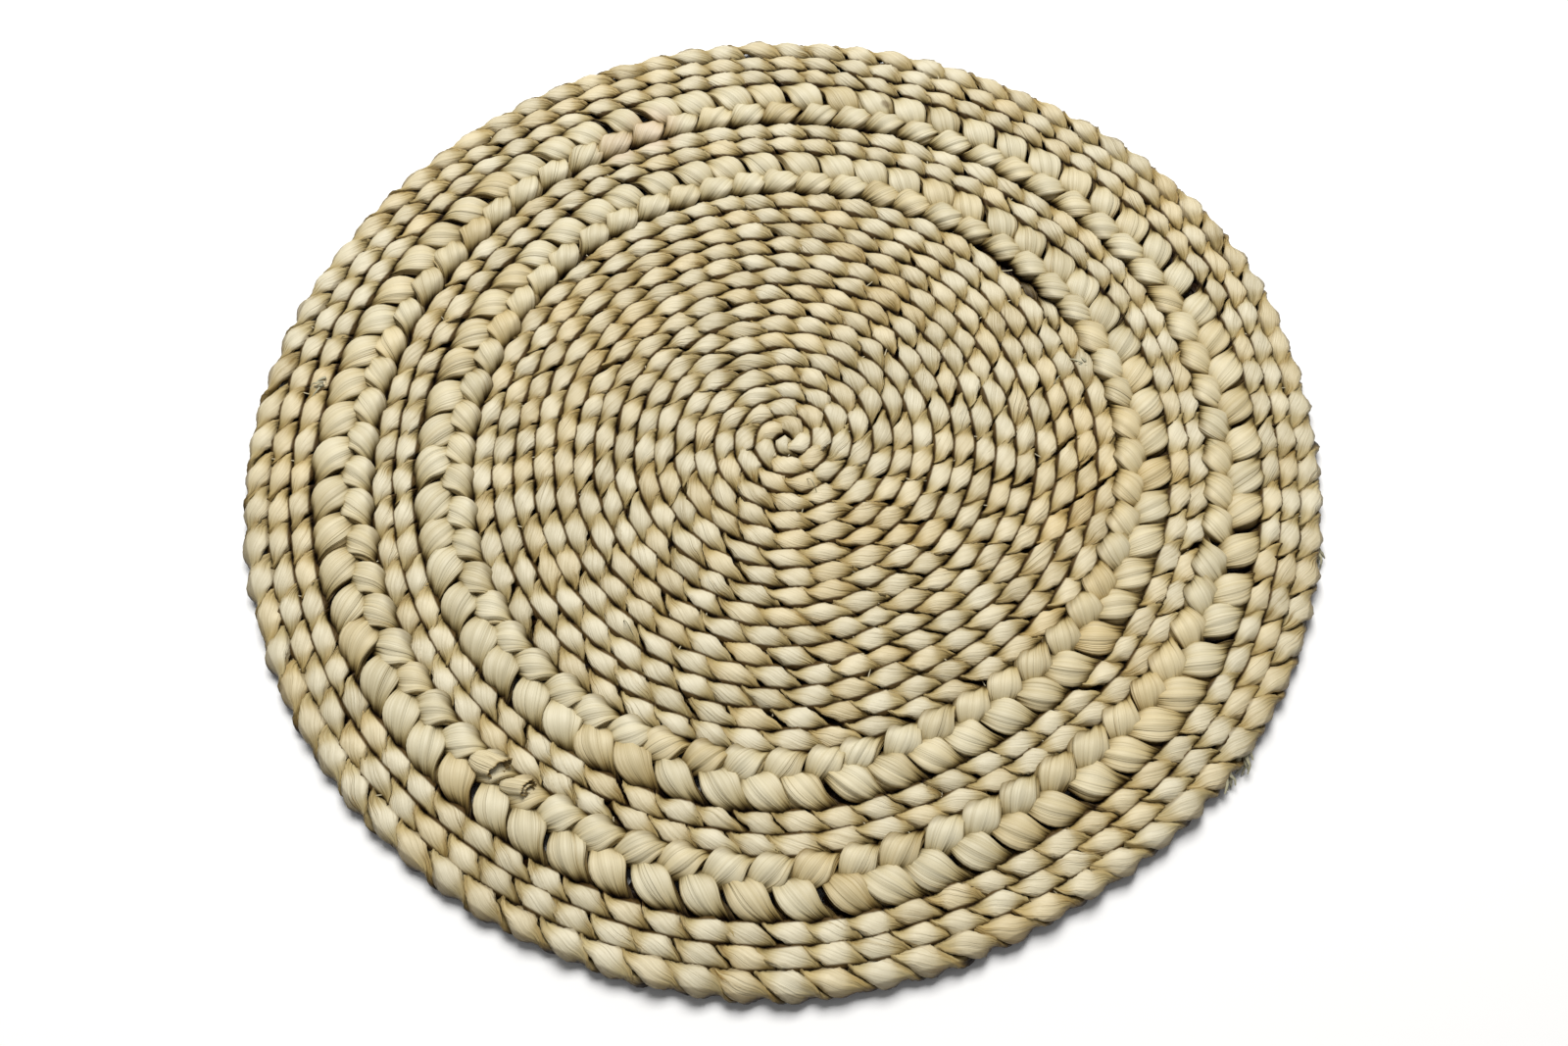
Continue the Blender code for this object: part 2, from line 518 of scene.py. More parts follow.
# %% [markdown]
# ## A strand along a path
# A ply of the cord and a strand of a plait are the same thing: a ribbon of husk that swings from
# side to side and up and down as it runs along its row. Only the rule of the swing differs, so
# one tree serves both. It resamples the path, moves each point off the row's middle by the rule,
# and then wraps a grid of points round the moved line, with the ribbon's thin side facing the way
# the rule says. A Curve to Mesh node would sweep a section along a line too, but it scales width
# and thickness alike, and it can't keep the ribbon's flat side up where it crosses over.

# %% The rule of a cord
SQUARER = 0.11               # how long a ply stays at each side before it crosses over
CREST_DIP = 0.12             # how much flatter the ply is on top
PLY_LEAN = 0.45              # how far its flat side turns outwards on its flanks
PLY_WIDTH = 0.98             # share of the full width, and how much more it is on top
WIDER_ON_TOP = 0.06
WIDER_AT_START = 0.08        # and where a lobe starts, a little after the row's inner side
START_SHIFT = 0.15


def cord_rule(turn):
    """A right-handed helix: on top, a ply runs outwards as it runs on, and narrows."""
    across = cosine(turn * 3) * SQUARER - cosine(turn) * (1 + SQUARER)
    rise = sine(turn)
    flank = across * across
    return dict(
        across=across,
        up=rise - CREST_DIP * cosine(turn * 2),
        along=sine(turn * 2),
        face_across=PLY_LEAN * across,
        face_up=rise,
        width=PLY_WIDTH + WIDER_ON_TOP * rise * rise + WIDER_AT_START * cosine(turn - START_SHIFT),
        thickness=1.0,
        # tucked marks the ply's flanks, which the finish paints olive as shade
        tucked=flank * flank,
    )


print("a ply crosses its row twice in every turn")

# %% [markdown]
# ## The rule of a plait
# Seen from its end, a strand of a flat plait draws a figure of eight that lies on its side: it
# rises in the middle, passes over to one edge, dives, comes back underneath, and does the same on
# the other side. So it goes up and down twice while it goes from side to side once. The strand is
# spread wide where it crosses over and pressed narrow where it turns round the edge.

# %% The rule of a plait
PLAIT_LOPSIDED = 0.20        # how much wider the outer lobes are than the inner ones
CROWN_SHIFT = 0.085          # how far past the seam a strand is widest, in turns
UNDER_SHIFT = 0.05
STRAND_LEAN = 0.35           # how far a strand's flat side tips as it crosses over
EDGE_WIDTH = 0.52            # width where it turns round the edge, as a share
CROWN_WIDTH = 0.59           # what is added to it on top, and underneath
HIDDEN_WIDTH = 0.52
EDGE_THICKNESS = 0.64
CROWN_THICKNESS = 0.40


def plait_rule(turn):
    """A flat three-strand plait: over from the seam to an edge, and back underneath."""
    up = sine(turn * 2 + UNDER_SHIFT)
    over = cosine(turn - CROWN_SHIFT)
    crown = over * over * over * over * over * over
    hidden = 0.5 - 0.5 * up
    hidden = hidden * hidden * hidden * hidden
    return dict(
        across=sine(turn) - PLAIT_LOPSIDED * cosine(turn) * cosine(turn),
        up=up,
        along=-cosine(turn * 2),
        face_across=-STRAND_LEAN * cosine(turn * 2 + UNDER_SHIFT),
        face_up=cosine(turn) + PLAIT_LOPSIDED * sine(turn * 2),
        width=EDGE_WIDTH + CROWN_WIDTH * crown + HIDDEN_WIDTH * hidden,
        thickness=EDGE_THICKNESS + CROWN_THICKNESS * crown,
        # tucked marks all but the crown, which the finish paints olive as shade
        tucked=1.0 - crown,
    )


print("a strand crosses over the plait once in every half turn")

# %% [markdown]
# ## The tree of a strand
# The tree has named inputs for every size, so one tree makes thick and thin strands. It works in
# four steps: move the path's points by the rule, wrap a grid round them, give each point its place
# on the ribbon's section, and store what the finish will read. The last nodes make real copies
# and set the material, because an export drops everything that is only an instance.

# %% The start and the end of a tree
STRAND_INPUTS = (
    ("Turns", "NodeSocketFloat"),
    ("Start", "NodeSocketFloat"),
    ("Stations a turn", "NodeSocketInt"),
    ("Sides", "NodeSocketInt"),
    ("Swing sideways", "NodeSocketFloat"),
    ("Swing up", "NodeSocketFloat"),
    ("Swing along", "NodeSocketFloat"),
    ("Middle height", "NodeSocketFloat"),
    ("Half width", "NodeSocketFloat"),
    ("Half thickness", "NodeSocketFloat"),
    ("Unevenness", "NodeSocketFloat"),
    ("Closed", "NodeSocketInt"),
    ("Seed", "NodeSocketFloat"),
    ("Material", "NodeSocketMaterial"),
)


def new_tree(name, inputs):
    """An empty Geometry Nodes tree, and the fields of its named inputs."""
    tree = bpy.data.node_groups.new(name, "GeometryNodeTree")
    tree.interface.new_socket("Geometry", in_out="INPUT", socket_type="NodeSocketGeometry")
    for label, kind in inputs:
        tree.interface.new_socket(label, in_out="INPUT", socket_type=kind)
    tree.interface.new_socket("Geometry", in_out="OUTPUT", socket_type="NodeSocketGeometry")
    given = add_node(tree, "NodeGroupInput")
    return tree, {socket.name: Field(tree, socket) for socket in given.outputs if socket.name}


def finished(tree, shape, material):
    """The last steps of every tree: smooth shading, real copies, and the material."""
    smooth = made(tree, "GeometryNodeSetShadeSmooth", {"Geometry": shape})
    real = made(tree, "GeometryNodeRealizeInstances", {"Geometry": smooth})
    painted = made(tree, "GeometryNodeSetMaterial", {"Geometry": real, "Material": material})
    add_node(tree, "NodeGroupOutput", (painted,))
    return tree


print(len(STRAND_INPUTS), "inputs to the tree of a strand")

# %% The middle line of a strand
STRAY_SCALE = 55.0           # a strand runs ahead of its twist or behind it, slowly
STRAY_TURNS = 0.2
WOBBLE_SCALE = 90.0          # and wanders sideways a little, more quickly
WOBBLE_REACH = 0.0022


def swung_line(tree, given, rule, count):
    """The path resampled, with each point moved off the row's middle by the rule."""
    line = made(tree, "GeometryNodeResampleCurve",
                {"Curve": given["Geometry"], "Count": count + given["Closed"]},
                keep_last_segment=True)
    here, seed, uneven = position(tree), given["Seed"], given["Unevenness"]
    ahead = made(tree, "GeometryNodeInputTangent")
    twisted = made(tree, "GeometryNodeInputCurveTilt")
    stray = cloudy(tree, here + xyz(tree, seed, seed * 1.7, 0), STRAY_SCALE) * uneven
    for label, value, kind in (
        ("turn", twisted + given["Start"] + stray * STRAY_TURNS, "FLOAT"),
        ("side", sideways(tree, ahead), "FLOAT_VECTOR"),
        ("ahead", ahead, "FLOAT_VECTOR"),
        ("fullness", made(tree, "GeometryNodeInputRadius"), "FLOAT"),
        ("run", made(tree, "GeometryNodeSplineParameter", output="Factor"), "FLOAT"),
    ):
        line = store(tree, line, label, value, kind)
    swing, full = rule(read(tree, "turn")), read(tree, "fullness")
    wobble = cloudy(tree, here + xyz(tree, seed + 5, seed + 9, 3), WOBBLE_SCALE)
    across = swing["across"] * given["Swing sideways"] * full + wobble * uneven * WOBBLE_REACH
    height = given["Middle height"] * (0.5 + 0.5 * full) + swing["up"] * given["Swing up"] * full
    moved = (
        read(tree, "side", "FLOAT_VECTOR") * across
        + read(tree, "ahead", "FLOAT_VECTOR") * (swing["along"] * given["Swing along"])
        + xyz(tree, 0, 0, 1) * height
    )
    return made(tree, "GeometryNodeSetPosition", {"Geometry": line, "Offset": moved})


def faced(tree, line, rule):
    """The line with the directions of the ribbon's thin and wide sides stored on it."""
    swing = rule(read(tree, "turn"))
    along = made(tree, "GeometryNodeInputTangent")
    side = read(tree, "side", "FLOAT_VECTOR")
    thin = side * swing["face_across"] + xyz(tree, 0, 0, 1) * swing["face_up"]
    thin = combine("NORMALIZE", thin - along * combine("DOT_PRODUCT", thin, along))
    line = store(tree, line, "thin", thin, "FLOAT_VECTOR")
    wide = combine("CROSS_PRODUCT", along, read(tree, "thin", "FLOAT_VECTOR"))
    return store(tree, line, "wide", wide, "FLOAT_VECTOR")


print("the middle line of a strand is ready to be wrapped")


# %% The skin of a strand
def skin_along(tree, given, line, count):
    """A grid with a row of points for each station of the line, which knows its station."""
    columns = given["Sides"] + 1
    skin = made(tree, "GeometryNodeMeshGrid",
                {"Vertices X": count + given["Closed"], "Vertices Y": columns}, "Mesh")
    index = made(tree, "GeometryNodeInputIndex")
    station = combine("FLOOR", (index + 0.25) / columns)
    known = [("centre", position(tree), "FLOAT_VECTOR")]
    for label, kind in (
        ("side", "FLOAT_VECTOR"),
        ("thin", "FLOAT_VECTOR"),
        ("wide", "FLOAT_VECTOR"),
        ("turn", "FLOAT"),
        ("fullness", "FLOAT"),
        ("run", "FLOAT"),
    ):
        known.append((label, read(tree, label, kind), kind))
    for label, value, kind in known:
        at_station = made(tree, "GeometryNodeSampleIndex", data_type=kind, domain="POINT",
                          inputs={"Geometry": line, "Value": value, "Index": station % count})
        skin = store(tree, skin, label, at_station, kind)
    skin = store(tree, skin, "around", (index - station * columns) / given["Sides"])
    return store(tree, skin, "lap", combine("FLOOR", (station + 0.5) / count))


print("a grid of points wraps each line")

# %% The section of a ribbon
FLOOR_CLEAR = 0.0002         # no point comes nearer to the floor than this
SECTION_SQUARE = 0.9         # under one, the ribbon's faces are a little flatter
LUMPY = 0.55                 # how strongly the girth and the width vary
BLUNT_END = 0.6              # an open strand's end narrows quickly to a point
ENDS_A_TURN = 2.0


def ribbon_places(tree, given, rule, fibre_twist, corners, ridge):
    """Where each point of the skin belongs, on a ribbon with soft corners along its fibres."""
    around, turn, run = (read(tree, label) for label in ("around", "turn", "run"))
    uneven, seed = given["Unevenness"], given["Seed"] * 13.7
    to_end = combine("MINIMUM", run, 1 - run) * given["Turns"] * ENDS_A_TURN
    ends = combine("MINIMUM", 1.0, to_end + given["Closed"] * 10)
    size = combine("POWER", combine("MAXIMUM", ends, 0.0), BLUNT_END) * read(tree, "fullness")
    fibre = around + turn * fibre_twist
    lumps = cloudy(tree, xyz(tree, turn * 0.8 + seed, cosine(fibre), sine(fibre)), 1.5, 1.5)
    drift = cloudy(tree, xyz(tree, turn * 0.6 + seed, 3.0, 0), 1.0)
    swell = cloudy(tree, xyz(tree, turn * 1.3 + seed, 7.0, 0), 1.0)
    corner = cosine(fibre * corners + drift * 2.0) * ridge
    girth = (1.0 + lumps * uneven * LUMPY + corner) * size
    swing = rule(turn)
    thin = rounded(cosine(around), SECTION_SQUARE) * given["Half thickness"] * swing["thickness"]
    wide = sine(around) * given["Half width"] * (1.0 + swell * uneven * LUMPY) * swing["width"]
    place = (
        read(tree, "centre", "FLOAT_VECTOR")
        + read(tree, "thin", "FLOAT_VECTOR") * (thin * girth)
        + read(tree, "wide", "FLOAT_VECTOR") * (wide * girth)
    )
    parts = add_node(tree, "ShaderNodeSeparateXYZ", (place,))
    x, y, z = (Field(tree, output) for output in parts.outputs)
    return xyz(tree, x, y, combine("MAXIMUM", z, FLOOR_CLEAR))


print(f"ribbons keep {1000 * FLOOR_CLEAR:.1f} mm above the floor")

# %% [markdown]
# ## What the finish will read
# A finish knows nothing of strands and lobes. It can only read what is stored on the mesh, so the
# tree stores it: where each point lies along and around the fibres, a random tone and hue for each
# lobe, how high the point is, and how near it is to the edge of its row or its ribbon. The finish
# paints shade from the height, the tuck and the nearness to the row's edge.

# %% Marks on the skin
GRAIN_STRETCH = 0.025        # length of grain in one turn, against the girth
GIRTH_SHARE = 0.7
THIN_EDGE = 7.0              # how narrow the band along the ribbon's two edges is


def marked(tree, skin, given, rule, fibre_twist):
    """Grain along the fibres, a tone and a hue for each lobe, and how deep each point lies."""
    around, turn, here = read(tree, "around"), read(tree, "turn"), position(tree)
    girth = given["Half width"] * GIRTH_SHARE
    turn_on = turn + read(tree, "lap") * given["Closed"] * given["Turns"]
    fibre = around + turn_on * fibre_twist
    grain = xyz(tree, turn_on * GRAIN_STRETCH, cosine(fibre) * girth, sine(fibre) * girth)
    grain = grain + xyz(tree, given["Seed"], 0, 0)
    skin = store(tree, skin, "grain", grain, "FLOAT_VECTOR", "CORNER")
    lobe = combine("FLOOR", turn + 0.25) + given["Seed"] * 37
    high = made(tree, "ShaderNodeSeparateXYZ", (here,), "Z")
    swing = rule(turn)
    # how near a point is to the edge of its row, for the painted shade in the grooves
    beside = combine("DOT_PRODUCT", here - read(tree, "centre", "FLOAT_VECTOR"),
                     read(tree, "side", "FLOAT_VECTOR"))
    beside = beside + swing["across"] * given["Swing sideways"] * read(tree, "fullness")
    half_row = given["Swing sideways"] + given["Half thickness"] * 0.75
    for label, value in (
        ("tone", scattered(tree, lobe)),
        ("hue", scattered(tree, lobe + 0.5)),
        # height, tucked and groove are stored for the finish to paint shade with
        ("height", high / (given["Middle height"] * 2)),
        ("tucked", swing["tucked"]),
        ("groove", combine("ABSOLUTE", beside) / half_row),
        ("rim", combine("POWER", combine("ABSOLUTE", sine(around)), THIN_EDGE)),
    ):
        skin = store(tree, skin, label, value)
    return skin


print("seven marks on every strand for the finish to read")

# %% The whole tree of a strand
WELD = 0.00001               # points nearer than this become one
PASSING = ("centre", "side", "thin", "wide", "turn", "fullness", "run", "around", "lap")


def strand_tree(name, rule, fibre_twist, corners, ridge):
    """The tree that turns a path into one strand of husk."""
    tree, given = new_tree(name, STRAND_INPUTS)
    count = combine("ROUND", given["Turns"] * given["Stations a turn"])
    line = faced(tree, swung_line(tree, given, rule, count), rule)
    skin = skin_along(tree, given, line, count)
    places = ribbon_places(tree, given, rule, fibre_twist, corners, ridge)
    skin = made(tree, "GeometryNodeSetPosition", {"Geometry": skin, "Position": places})
    skin = marked(tree, skin, given, rule, fibre_twist)
    skin = made(tree, "GeometryNodeMergeByDistance", {"Geometry": skin, "Distance": WELD})
    for label in PASSING:
        skin = made(tree, "GeometryNodeRemoveAttribute", {"Geometry": skin, "Name": label},
                    pattern_mode="EXACT")
    return finished(tree, skin, given["Material"])


cord_tree = strand_tree("Ply of a twisted cord", cord_rule, 0.45, 3, 0.15)
plait_tree = strand_tree("Strand of a plait", plait_rule, 0.0, 6, 0.11)
print(f"{len(cord_tree.nodes)} nodes for a ply, {len(plait_tree.nodes)} for a strand of a plait")

# %% [markdown]
# ## From a path to a piece
# A tree works as a modifier on the path. Its inputs are set by the sockets' identifiers before
# the path is first evaluated. The result is then copied into a plain mesh and the modifier is
# taken off again, so the same path can be dressed once for each strand, with another start.


# %% Dress a path with a tree
def dress(path, tree, name, **inputs):
    """The plain mesh object that a tree makes from a path."""
    modifier = path.modifiers.new("strand", "NODES")
    modifier.node_group = tree
    for item in tree.interface.items_tree:
        key = item.name.lower().replace(" ", "_")
        if item.in_out == "INPUT" and key in inputs:
            modifier[item.identifier] = inputs[key]
    graph = bpy.context.evaluated_depsgraph_get()
    mesh = bpy.data.meshes.new_from_object(
        path.evaluated_get(graph), preserve_all_data_layers=True, depsgraph=graph
    )
    path.modifiers.remove(modifier)
    mesh.name = name
    triangles = sum(len(face.vertices) - 2 for face in mesh.polygons)
    print(f"{name}: {triangles} triangles")
    return added(name, mesh)

# %% [markdown]
# ## Husk
# Dry husk is a leaf: fine fibres run along it, it is pale and a little glossy where it is smooth,
# and each strip has its own tone. The finish also paints shade into the husk: olive and darker low
# down and on the tucked flanks, browner in the creases and the pleat hollows, and dark in the
# grooves between rows. It reads the grain, the tone and the depth that the trees stored, so the
# fibres follow every strand. A pattern laid over the whole mat would run straight across the twist.


# %% Parts of a finish
def stored(tree, label, output="Fac"):
    """A value that a tree stored on the strand."""
    return made(tree, "ShaderNodeAttribute", output=output, attribute_name=label)


def fibrous(tree, grain, along, around, detail):
    """Noise stretched along the fibres: how quickly it changes along them and around them."""
    return cloudy(tree, grain * Vector((along, around, around)), 1.0, detail)


def from_to(tree, value, start, end):
    """0 at start, 1 at end, and smooth between."""
    return made(tree, "ShaderNodeMapRange", interpolation_type="SMOOTHSTEP",
                inputs={"Value": value, "From Min": start, "From Max": end})


def tinted(tree, colour, tint, amount):
    """A colour multiplied by a tint, by an amount from 0 to 1."""
    return made(tree, "ShaderNodeMix", {7: (*tint, 1), "Factor": amount, 6: colour}, 2,
                data_type="RGBA", blend_type="MULTIPLY")


def blended(tree, shade, dark_at, dark, pale_at, pale):
    """A colour between dark and pale, and the ramp that gives it."""
    ramp = add_node(tree, "ShaderNodeValToRGB", (shade,))
    stops = ramp.color_ramp.elements
    stops[0].position, stops[0].color = dark_at, (*dark, 1)
    stops[1].position, stops[1].color = pale_at, (*pale, 1)
    return Field(tree, ramp.outputs[0]), stops


print("parts of a finish ready")

# %% Tints of husk
WARM = (1.0, 0.92, 0.76)
CREASE_SHADE_BROWN = (0.60, 0.46, 0.22)
PATCH_YELLOW = (1.0, 0.90, 0.70)
EDGE_BROWN_AND_SHADE = (0.62, 0.50, 0.27)
TUCKED_SHADE_OLIVE = (0.68, 0.59, 0.34)
GROOVE_SHADE_DARK = (0.15, 0.10, 0.04)
DEEP_SHADE_OLIVE = (0.58, 0.48, 0.20)
DEEP_SHADE_DARK = (0.07, 0.035, 0.008)
BASE_SHADE = 0.66            # 0 is the deep colour of husk, and 0.85 its pale one
TONE_REACH = 0.34            # how much the lobes, the pleats and the blotches vary it
PLEAT_REACH = 0.9
BLOTCH_REACH = 0.7
PALE_SHADE = 0.85
HALF_SHADE = 0.42            # the shade at which a strip is most of the way to its pale colour
RELIEF_DEPTH = 0.0008        # height of the folds, in metres
FINE_RELIEF = 0.35
CREASE_RELIEF = 0.2
MARKS = (
    # place and reach in metres, and tint: a brown stain, and two lobes of pinker husk
    ((0.0365, 0.1556, 0.0095), 0.0026, (0.42, 0.36, 0.30)),
    ((-0.0560, 0.1400, 0.0090), 0.0130, (1.0, 0.90, 0.93)),
    ((-0.0700, 0.1310, 0.0090), 0.0100, (1.0, 0.91, 0.93)),
)
RAGGED_SCALE = 500.0
RAGGED_REACH = 0.0016


def near_mark(tree, place, spot, reach):
    """1 at a mark, 0 away from it, with a ragged edge."""
    away = combine("DISTANCE", place, Vector(spot)) + cloudy(tree, place, RAGGED_SCALE) * RAGGED_REACH
    return clamped(2.0 - away * (2 / reach), 0.0, 1.0)


print(len(MARKS), "marks on the husk")


# %% The husk's finish
def husk_finish(name, pale, deep, fold_depth, shade_from, groove_shade):
    """Husk with fibres along its grain, a tone of its own for each lobe, and painted shade."""
    material, tree, shader = new_material(name, 0.48)
    shader.inputs["Specular IOR Level"].default_value = 0.30
    tone, hue, height, rim, tucked, groove = (
        stored(tree, label) for label in ("tone", "hue", "height", "rim", "tucked", "groove")
    )
    grain = stored(tree, "grain", "Vector")
    fine = fibrous(tree, grain, 60.0, 2600.0, 3.0)
    pleat = fibrous(tree, grain, 26.0, 900.0, 1.0)
    blotch = fibrous(tree, grain, 70.0, 160.0, 2.0)
    creased = combine("MAXIMUM", fibrous(tree, grain, 90.0, 300.0, 0.0) * 4.0 + 0.1, 0.0)
    crease = combine("POWER", 1.0 - combine("ABSOLUTE", pleat) * 2.0, 16.0) * creased
    # sunk grows the lower and the more tucked a point lies: it deepens the folds' relief, and as
    # painted shade it darkens the pleat hollows and lightens their ridges there
    sunk = combine("MAXIMUM", 1.75 - height * 1.5, 0.2) + tucked * 0.5
    shade = BASE_SHADE + (tone - 0.5) * TONE_REACH + fine
    shade = shade + pleat * sunk * PLEAT_REACH + blotch * BLOTCH_REACH
    colour, stops = blended(tree, shade, 0.0, deep, PALE_SHADE, pale)
    stops.new(HALF_SHADE).color = (*[0.35 * a + 0.65 * b for a, b in zip(deep, pale)], 1)
    place = made(tree, "ShaderNodeTexCoord", output="Object")
    marks = [(tint, near_mark(tree, place, spot, reach) * 0.8) for spot, reach, tint in MARKS]
    for tint, amount in (
        (WARM, (hue - 0.55) * 1.6),
        # brown crease lines, partly the husk's own and, through sunk, painted shade in the folds
        (CREASE_SHADE_BROWN, crease * sunk),
        (PATCH_YELLOW, cloudy(tree, place, 14.0, 1.0) * 2.2),
        *marks,
        # brown along the ribbons' edges, and on the cut ends painted shade on the lips and the
        # insides
        (EDGE_BROWN_AND_SHADE, rim * 0.5),
        # painted shade on the tucked flanks and tails
        (TUCKED_SHADE_OLIVE, tucked * 0.85),
        # painted shade in the grooves between rows
        (GROOVE_SHADE_DARK, from_to(tree, groove, 0.78, 1.00) * groove_shade),
        # painted shade: the lower a point lies, the more olive and then the darker it is painted
        (DEEP_SHADE_OLIVE, from_to(tree, height, shade_from, shade_from - 0.42)),
        (DEEP_SHADE_DARK, from_to(tree, height, shade_from - 0.08, shade_from - 0.42)),
    ):
        colour = tinted(tree, colour, tint, amount)
    plug(tree, colour, shader.inputs["Base Color"])
    relief = fine * FINE_RELIEF + pleat * sunk * fold_depth - crease * CREASE_RELIEF
    bump = made(tree, "ShaderNodeBump", output="Normal",
                inputs={"Strength": 1.0, "Distance": RELIEF_DEPTH, "Height": relief})
    plug(tree, bump, shader.inputs["Normal"])
    return material


# The last two numbers say where the painted shade low down starts and how strong the painted shade in
# the grooves is.
cord_husk = husk_finish("cord husk", (0.71, 0.648, 0.475), (0.29, 0.22, 0.085), 0.8, 1.0, 1.0)
rim_husk = husk_finish("rim husk", (0.71, 0.648, 0.475), (0.29, 0.22, 0.085), 0.8, 0.80, 0.45)
plait_husk = husk_finish("plait husk", (0.71, 0.648, 0.465), (0.32, 0.25, 0.105), 2.2, 1.02, 0.35)
print(len(cord_husk.node_tree.nodes), "nodes in the finish of a cord")

# %% [markdown]
# ## Thin strips
# The strips that sew the rows and the frayed blades are too narrow to show fibres. They get a
# plain finish that only varies from spot to spot, a little darker where they are weathered.


# %% The finish of thin strips
def strip_finish(name, pale):
    """Thin strips and loose fibres: dry husk that varies a little from spot to spot."""
    material, tree, shader = new_material(name, 0.6)
    place = made(tree, "ShaderNodeTexCoord", output="Object")
    shade = cloudy(tree, place, 420.0, 2.0) + 0.6
    colour, _ = blended(tree, shade, 0.2, [0.28 * part for part in pale], 0.8, pale)
    plug(tree, colour, shader.inputs["Base Color"])
    return material


sewing_husk = strip_finish("sewing husk", (0.62, 0.54, 0.35))
frayed_husk = strip_finish("frayed husk", (0.50, 0.47, 0.31))
print("finishes:", ", ".join(sorted(material.name for material in bpy.data.materials)))

# %% [markdown]
# ## Twisted cord
# A cord is two plies half a turn apart, each a soft ribbon. The coil in the middle is one long
# cord, and each of its plies is a piece of its own. Each outer row is a ring, and its two plies
# are joined into one piece. The rim's grooves face outwards, where the light reaches them, so its
# husk gets less painted shade low down and in its grooves.

# %% Sizes of a cord
CORD = dict(
    stations_a_turn=22,
    sides=14,
    swing_sideways=0.0022,
    swing_up=0.0024,
    swing_along=0.0003,
    middle_height=0.0039,
    half_width=0.0040,
    half_thickness=0.0018,
    unevenness=1.0,
)


def joined(name, pieces):
    """Several mesh objects as one."""
    for piece in pieces:
        piece.select_set(True)
    bpy.context.view_layer.objects.active = pieces[0]
    with bpy.context.temp_override(
        active_object=pieces[0], selected_editable_objects=pieces
    ):
        bpy.ops.object.join()
    pieces[0].name = pieces[0].data.name = name
    pieces[0].select_set(False)
    return pieces[0]


def settle(piece, node):
    """A finished piece rides on the mat and stands for this solid."""
    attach(piece, "root")
    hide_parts(node)


print(f"a ply is {2000 * CORD['half_width']:.1f} mm wide")

# %% The centre coil
for number in (0, 1):
    ply = dress(
        coil, cord_tree, f"coil_ply_{number + 1}",
        turns=coil_turns, start=number / 2, seed=1.0 + number, closed=0, material=cord_husk, **CORD,
    )
    settle(ply, "centre_coil")
print("the coil has two plies")

# %% [markdown]
# ## The rings of cord
# Two rings lie between the plaits and three outside them. A ring needs a whole number of turns of
# twist, or its two ends wouldn't meet, so the spare part of a turn is spread over its length. Each
# ring hands its twist to the next one out, which lets its own lobes settle beside them.


# %% The rings of cord
def cord_ring(name, node, inner, outer, seed, beside, husk):
    """Two plies wound round a closed path; gives the turns of the row at any angle."""
    path, turns, turns_at = ring_path(f"{name} path", inner, outer, CORD_LOBE, beside=beside)
    plies = [
        dress(
            path, cord_tree, f"{name}_{number}",
            turns=turns, start=number / 2, seed=seed + number * 0.5, closed=1,
            material=husk, **CORD,
        )
        for number in (0, 1)
    ]
    settle(joined(name, plies), node)
    print(f"{name}: {path_length(path):.3f} m of cord, {2 * turns:.0f} lobes")
    return turns_at


def cord_rings(group, inside, edges, first_seed):
    """Rings side by side, each nested beside the one inside it."""
    beside = None
    for number, edge in enumerate(edges, 1):
        beside = cord_ring(
            f"{group}_row_{number}", f"{group}_cord_{number}", inside, edge,
            first_seed + number, beside, rim_husk if edge == RIM else cord_husk,
        )
        inside = edge


cord_rings("middle", INNER_PLAIT_EDGE, MIDDLE_CORD_EDGES, 10.0)
cord_rings("outer", OUTER_PLAIT_EDGE, OUTER_CORD_EDGES, 20.0)

# %% [markdown]
# ## Plaits
# Three strands a third of a turn apart, each a wide soft ribbon that passes over from the seam to
# an edge and comes back underneath. The number of lobes is a multiple of three, because only then
# do three strands close on themselves round a ring.

# %% Sizes of a plait
INNER_PLAIT_LOBES = 57
OUTER_PLAIT_LOBES = 69
PLAIT_LOBE = 0.0139
TUCKED_IN = 0.60             # how far a strand's edge lies inside the plait's, in half thicknesses
PLAIT = dict(
    stations_a_turn=44,
    sides=30,
    swing_up=0.0025,
    swing_along=0.0009,
    middle_height=0.0047,
    half_width=0.0056,
    half_thickness=0.0030,
    unevenness=0.8,
    material=plait_husk,
)


def plait_ring(name, node, inner, outer, lobes, seed):
    """Three strands plaited round a closed path, with this many lobes along each edge."""
    path, turns, _ = ring_path(f"{name} path", inner, outer, PLAIT_LOBE, turns=lobes / 3)
    swing = (outer - inner) / 2 - TUCKED_IN * PLAIT["half_thickness"]
    strands = [
        dress(
            path, plait_tree, f"{name}_{number}",
            turns=turns, start=number / 3, seed=seed + number * 0.5, closed=1,
            swing_sideways=swing, **PLAIT,
        )
        for number in range(3)
    ]
    settle(joined(name, strands), node)
    print(f"{name}: {path_length(path):.3f} m of plait, {lobes} lobes along each edge")


plait_ring(
    "inner_plait_husk", "inner_plait", FIELD_EDGE, INNER_PLAIT_EDGE, INNER_PLAIT_LOBES, 31.0
)
plait_ring(
    "outer_plait_husk", "outer_plait", MIDDLE_CORD_EDGES[-1], OUTER_PLAIT_EDGE,
    OUTER_PLAIT_LOBES, 41.0,
)

# %% [markdown]
# ## Stitches
# Each row is sewn to the one inside it with a thin strip of husk, which shows where it crosses the
# gap between two rows. A tree puts one short sagging strip at every stitch along the row's path.
# The strip is drawn once, as a curve, and the tree copies it, turns each copy a little and gives
# it a round section. Placing them by hand would give the same strips, but not by changing one
# number.

